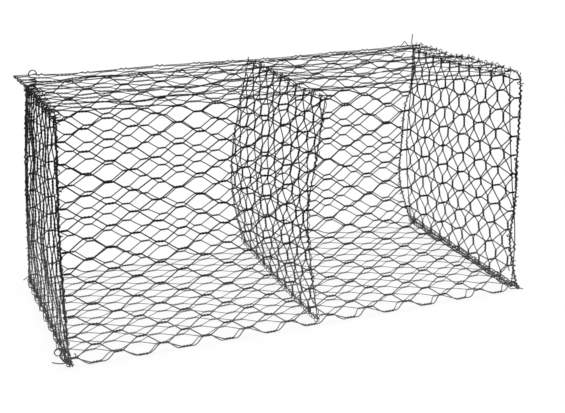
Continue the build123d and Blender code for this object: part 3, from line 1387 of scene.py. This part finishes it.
@dataclass(frozen=True)
class Studio:
    """The plain white floor, the soft light and the camera."""

    camera_place: Triple = (-1.465, -4.178, 1.748)
    azimuth: float = -20.31
    elevation: float = 13.81
    roll: float = -1.19
    focal_pixels: float = 1007.1
    image_width: float = 565.0
    axis_rise: float = 60.0
    sensor_width: float = 36.0
    farthest: float = 100.0
    floor_half: float = 14.0
    floor_lights: tuple[float, ...] = (0.8, 0.8, 0.8, 1.0)
    floor_shows: tuple[float, ...] = (0.12, 0.12, 0.12, 1.0)
    floor_glow: float = 0.897
    sky_light: float = 0.50
    white: tuple[float, ...] = (1.0, 1.0, 1.0, 1.0)
    sun_travel: Triple = (-0.05, -0.03, -1.0)
    sun_spread: float = 4.0
    sun_strength: float = 1.2

    def build(self) -> None:
        """Set up floor, light, backdrop and camera."""
        bpy.context.scene.view_settings.view_transform = "Standard"
        self._floor()
        self._backdrop()
        self._sun()
        self._camera()

    @staticmethod
    def _split(bench: NodeBench, lights: NodeSocket, shows: NodeSocket, end: str) -> None:
        """Give camera, glossy and transmission rays one shader, and all other rays another.

        Args:
            bench: The bench of the floor's or the world's tree.
            lights: The shader that lights the basket.
            shows: The shader that is seen.
            end: Name of the tree's last node.
        """
        rays = bench.add("ShaderNodeLightPath").outputs
        seen = bench.reckon("MAXIMUM", rays["Is Camera Ray"], rays["Is Glossy Ray"])
        seen = bench.reckon("MAXIMUM", seen, rays["Is Transmission Ray"])
        choice = bench.add("ShaderNodeMixShader", {"Fac": seen, 1: lights, 2: shows})
        bench.feed(bench.tree.nodes[end], {"Surface": choice.outputs["Shader"]})

    def _floor(self) -> None:
        """Lay the pale floor: white to the eye, and still taking the basket's shadow."""
        grid = np.linspace(-self.floor_half, self.floor_half, 3)
        x, y = np.meshgrid(grid, grid)
        points = np.stack([x.ravel(), y.ravel(), np.zeros(x.size)], axis=-1)
        corner = np.array([0, 1, 3, 4])[:, None] + np.array([0, 1, 4, 3])
        mesh = bpy.data.meshes.new("studio_floor")
        mesh.from_pydata(points.tolist(), [], corner.tolist())
        floor = bpy.data.objects.new("studio_floor", mesh)
        bpy.context.scene.collection.objects.link(floor)
        material = bpy.data.materials.new("pale_floor")
        material.use_nodes = True
        bench = NodeBench(material.node_tree)
        bench.tree.nodes.remove(bench.tree.nodes["Principled BSDF"])
        plain, shaded = (
            bench.add("ShaderNodeBsdfDiffuse", {"Color": tone}).outputs["BSDF"]
            for tone in (self.floor_lights, self.floor_shows)
        )
        glow = bench.add("ShaderNodeEmission", {"Strength": self.floor_glow}).outputs["Emission"]
        both = bench.add("ShaderNodeAddShader", {0: shaded, 1: glow}).outputs["Shader"]
        self._split(bench, plain, both, "Material Output")
        mesh.materials.append(material)

    def _backdrop(self) -> None:
        """Fill the world: white to the eye and in reflections, a soft grey as light."""
        world = bpy.data.worlds.new("studio_world")
        bpy.context.scene.world = world
        world.use_nodes = True
        bench = NodeBench(world.node_tree)
        light = bench.tree.nodes["Background"]
        bench.feed(light, {"Color": self.white, "Strength": self.sky_light})
        white = bench.add("ShaderNodeBackground", {"Color": self.white})
        self._split(bench, light.outputs["Background"], white.outputs["Background"], "World Output")

    def _sun(self) -> None:
        """Set a soft sun, which lights the whole floor evenly."""
        data = bpy.data.lights.new("key_sun", "SUN")
        data.energy, data.angle = self.sun_strength, math.radians(self.sun_spread)
        sun = bpy.data.objects.new(data.name, data)
        sun.rotation_euler = Vector(self.sun_travel).to_track_quat("-Z", "Y").to_euler()
        bpy.context.scene.collection.objects.link(sun)

    def _camera(self) -> None:
        """Stand the camera at the viewing angle: its axes come from azimuth, elevation and roll."""
        azimuth, elevation, roll = (math.radians(a) for a in (self.azimuth, self.elevation, self.roll))
        level = math.cos(elevation)
        back = Vector((math.sin(azimuth) * level, -math.cos(azimuth) * level, math.sin(elevation)))
        right = Vector((math.cos(azimuth), math.sin(azimuth), 0.0))
        up = back.cross(right)
        turned = math.cos(roll) * right + math.sin(roll) * up
        upright = math.cos(roll) * up - math.sin(roll) * right
        data = bpy.data.cameras.new("photo_camera")
        data.sensor_width = self.sensor_width
        data.lens = self.focal_pixels / self.image_width * self.sensor_width
        data.shift_y = -self.axis_rise / self.image_width
        data.clip_end = self.farthest
        camera = bpy.data.objects.new("photo_camera", data)
        facing = Matrix((turned, upright, back)).transposed().to_4x4()
        camera.matrix_world = Matrix.Translation(self.camera_place) @ facing
        bpy.context.scene.collection.objects.link(camera)
        bpy.context.scene.camera = camera


@dataclass
class Basket:
    """The whole basket: the folded sheet, the upright panels, the lacing and the loose ends."""

    rack: Rack = Rack()
    seam_stations: int = 160
    loop_gap: float = 0.003
    sill_gap: float = 0.007
    wall_gap: float = 0.009
    base_seam_rows: tuple[float, float] = (22.60, 11.30)
    front_seam_rows: tuple[float, float] = (22.80, 34.10)
    back_seam_rows: tuple[float, float] = (11.20, 0.05)
    lid_loop_rows: tuple[float, float] = (35.20, 45.30)

    def panels(self) -> dict[str, UprightPanel]:
        """Describe the two ends and the diaphragm, with the bows that they stand in.

        Returns:
            The panels by name.
        """
        left_end = UprightPanel(
            "left_end", at=-0.9945, rack=self.rack, seed=31,
            front_bow=Curve((0.0, -0.008, -0.011, -0.006, 0.0)),
            back_bow=Curve((0.0, -0.006, -0.010, -0.008, 0.0)),
            top_drop=Curve((0.013, 0.002, -0.012, -0.011, 0.010)),
            belly=-0.009, wire=0.0050,
        )
        right_end = UprightPanel(
            "right_end", at=0.9945, rack=self.rack, seed=41,
            front_bow=Curve((-0.020, -0.004, -0.019, -0.031, -0.034)),
            back_bow=Curve((0.0, -0.022, -0.028, -0.010, 0.0)),
            top_drop=Curve((-0.010, -0.004, 0.0, 0.0, 0.0)),
            belly=-0.026,
        )
        diaphragm = UprightPanel(
            "diaphragm", at=0.045, rack=self.rack, seed=51,
            front_bow=Curve((-0.010, -0.036, -0.044, 0.002, 0.044)),
            back_bow=Curve((0.004, -0.042, -0.050, -0.014, 0.036)),
            top_drop=Curve((0.019, 0.022, -0.002, -0.019, -0.026)),
            foot_back=0.036, wound=(0.35, 0.25),
        )
        return {panel.name: panel for panel in (left_end, right_end, diaphragm)}

    def _spaced(self, first: float, last: float) -> Array:
        """Space a seam's stations evenly between two values."""
        return np.linspace(first, last, self.seam_stations)

    def seams(self, sheet: FoldedSheet, panels: dict[str, UprightPanel]) -> list[SeamLacing]:
        """Describe the laced seams along the base and up the corners, and the loops along the top edges.

        Args:
            sheet: The folded sheet.
            panels: The upright panels by name.

        Returns:
            The seams, each with its two edge wires' lines.
        """
        laced = {"turns": 13.0, "seed": 63, "slack": 0.0006, "wire": 0.0030}
        foot_tied = {"turns": 3.5, "seed": 65, "slack": 0.002, "span": (0.0, 0.06)}
        gap = np.array([0.0, 0.0, self.loop_gap])
        share = self._spaced(0.0, 1.0)
        seams = []
        for side, name, inward, turns, slack, tie, tying in (
            (Side.LEFT, "left_end", 0.018, 16.0, 0.009, "lacing", laced),
            (Side.RIGHT, "right_end", 0.0, 50.0, 0.012, "foot_tie", foot_tied),
        ):
            panel, edge = panels[name], sheet.lattice.edge_of(side)
            foot, head = (panel.place(height, panel.rows * share, 0.0) for height in (0.0, panel.tall))
            beside = head + np.array([inward, 0.0, self.loop_gap])
            base = sheet.place(edge, self._spaced(*self.base_seam_rows), 0.0)
            seams += [
                SeamLacing(f"{name}_top_loops", head, beside, 17.0, seed=75, slack=0.009, wire=0.0034),
                SeamLacing(f"{name}_base_lacing", base, foot, turns, seed=61, slack=slack, wire=0.0038),
                SeamLacing(f"{name}_base_curls", base, foot, 9.5, seed=71, slack=0.014, wire=0.0033),
            ]
            for part, ends, row in (
                ("front", self.front_seam_rows, 0.0),
                ("back", self.back_seam_rows, panel.rows),
            ):
                line = sheet.place(edge, self._spaced(*ends), 0.0)
                stile = panel.place(panel.tall * share, row, 0.0)
                seams.append(SeamLacing(f"{name}_{part}_{tie}", line, stile, **tying))
        lid = sheet.place(sheet.lattice.edge_of(Side.RIGHT), self._spaced(*self.lid_loop_rows), 0.0)
        wall = panels["diaphragm"]
        sill, head = (wall.place(height, wall.rows * share, 0.0) for height in (0.0, wall.tall))
        under = sill - np.array([0.0, 0.0, self.sill_gap])
        loops = {"turns": 17.0, "seed": 77, "slack": 0.009, "wire": 0.0036, "body": "lid"}
        seams += [
            SeamLacing("lid_right_loops", lid - gap, lid, **loops),
            SeamLacing("diaphragm_top_loops", head - gap, head, 17.0, seed=79, slack=0.007, wire=0.0030),
            SeamLacing("diaphragm_base_lacing", under, sill, 34.0, seed=67, slack=0.006, wire=0.0030),
        ]
        for name, row, out in (("front", 0.0, -self.wall_gap), ("back", wall.rows, self.wall_gap)):
            stile = wall.place(wall.tall * share, row, 0.0)
            beside = stile + np.array([0.0, out, 0.0])
            seams.append(SeamLacing(f"diaphragm_{name}_lacing", beside, stile, 13.0, seed=69, slack=0.002))
        return seams

    @staticmethod
    def loose_ends() -> list[TieWire]:
        """Describe the loose ends of tie wire at the corners, as knots of the square basket.

        Returns:
            The loose ends.
        """
        along, deep, upright = (1.0, 0.0, 0.0), (0.0, 1.0, 0.0), (0.0, 0.0, 1.0)
        slanting = (0.3, 1.0, 0.2)
        curl = coiled((-0.964, 0.480, 0.968), 0.014, 5.5, along, deep, (0.0, 0.0, 0.060))
        hook = (
            (-0.983, 0.480, 1.038), (-0.984, 0.480, 1.047), (-0.977, 0.480, 1.058), (-0.966, 0.480, 1.062),
            (-0.955, 0.480, 1.057), (-0.949, 0.480, 1.046), (-0.947, 0.480, 1.034),
        )
        hooked = np.vstack([curl, hook])
        tail = (
            (0.995, 0.480, 0.931), (0.995, 0.480, 0.970), (0.991, 0.480, 0.994), (0.983, 0.480, 1.014),
            (0.984, 0.480, 1.040), (0.987, 0.480, 1.066),
        )
        knot = coiled((-1.004, -0.436, 0.028), 0.018, 3.0, along, upright, (0.004, -0.045, 0.004))
        ring = coiled((-1.016, -0.384, 0.021), 0.015, 1.5, along, upright, (-0.004, -0.014, 0.0))
        front_left_long = (
            (-0.985, -0.488, 0.026), (-0.996, -0.480, 0.014), (-1.016, -0.466, 0.006),
            (-1.036, -0.454, 0.005), (-1.051, -0.445, 0.008),
        )
        twisted = coiled((-0.996, -0.476, 0.030), 0.0042, 2.5, along, upright, (0.014, -0.034, -0.024))
        front_left_hook = (
            (-0.998, -0.497, 0.034), (-0.984, -0.502, 0.035), (-0.973, -0.504, 0.040),
            (-0.970, -0.503, 0.051), (-0.977, -0.501, 0.056),
        )
        back_left = (
            (-0.985, 0.490, 0.036), (-1.000, 0.498, 0.024), (-1.012, 0.500, 0.012), (-1.0215, 0.502, 0.007),
        )
        front_right = (
            (0.985, -0.490, 0.026), (0.998, -0.500, 0.016), (1.010, -0.508, 0.006), (1.020, -0.512, 0.003),
        )
        diaphragm_front = (
            (0.058, -0.490, 0.978), (0.072, -0.496, 0.978), (0.092, -0.501, 0.976), (0.106, -0.504, 0.979),
        )
        lid_right = (
            (0.925, 0.499, 1.000), (0.940, 0.499, 1.016), (0.950, 0.498, 1.026), (0.958, 0.497, 1.018),
            (0.968, 0.496, 1.004),
        )
        return [
            TieWire("left_hooked_end", hooked, slanting, wire=0.0050, stations=300, nodes=("left_tie_hook",)),
            TieWire("right_straight_end", tail, deep, wire=0.0052, nodes=("right_tie_tail",)),
            TieWire("front_left_knot", knot, deep, wire=0.0036, stations=120),
            TieWire("front_left_ring", ring, deep, stations=70),
            TieWire("front_left_long_end", front_left_long, upright),
            TieWire("front_left_tail", twisted, (0.0, 0.5, 1.0), wire=0.0056),
            TieWire("front_left_hook", front_left_hook, (0.0, 1.0, 0.2)),
            TieWire("back_left_end", back_left, upright),
            TieWire("front_right_end", front_right, upright),
            TieWire("diaphragm_front_end", diaphragm_front, upright),
            TieWire("lid_right_end", lid_right, deep, body="lid"),
        ]

    def build(self) -> list[Object]:
        """Make every piece of the basket.

        Returns:
            The pieces, in the order in which they were made.
        """
        groups = EffectGroups()
        # Each wire kind gets its share of the paler near-ground tone, partly dust, partly painted
        # floor-bounce light.
        mesh = WireFinish("mesh_wire_coat", deep=0.004, pale=0.020, dulling=0.45, dusting=1.0)
        edge = WireFinish("selvedge_wire_coat", deep=0.004, pale=0.018, dulling=0.35, dusting=0.5)
        tie = WireFinish("tie_wire_coat", deep=0.006, pale=0.026, dulling=0.40, dusting=0.55)
        finishes = Finishes(*(finish.material(groups) for finish in (mesh, edge, tie)))
        sheet = FoldedSheet(self.rack)
        panels = self.panels()
        pieces = sheet.build(finishes)
        for panel in panels.values():
            pieces += panel.build(finishes)
        pieces += [seam.build(finishes.tie) for seam in self.seams(sheet, panels)]
        pieces += [end.build(finishes.tie, self.rack) for end in self.loose_ends()]
        return pieces


def main() -> None:
    """Build the basket and the studio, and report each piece."""
    logging.basicConfig(level=logging.INFO, format="%(message)s")
    for piece in Basket().build():
        LOG.info("%s: %d faces", piece.name, len(piece.data.polygons))
    Studio().build()


if __name__ == "__main__":
    main()
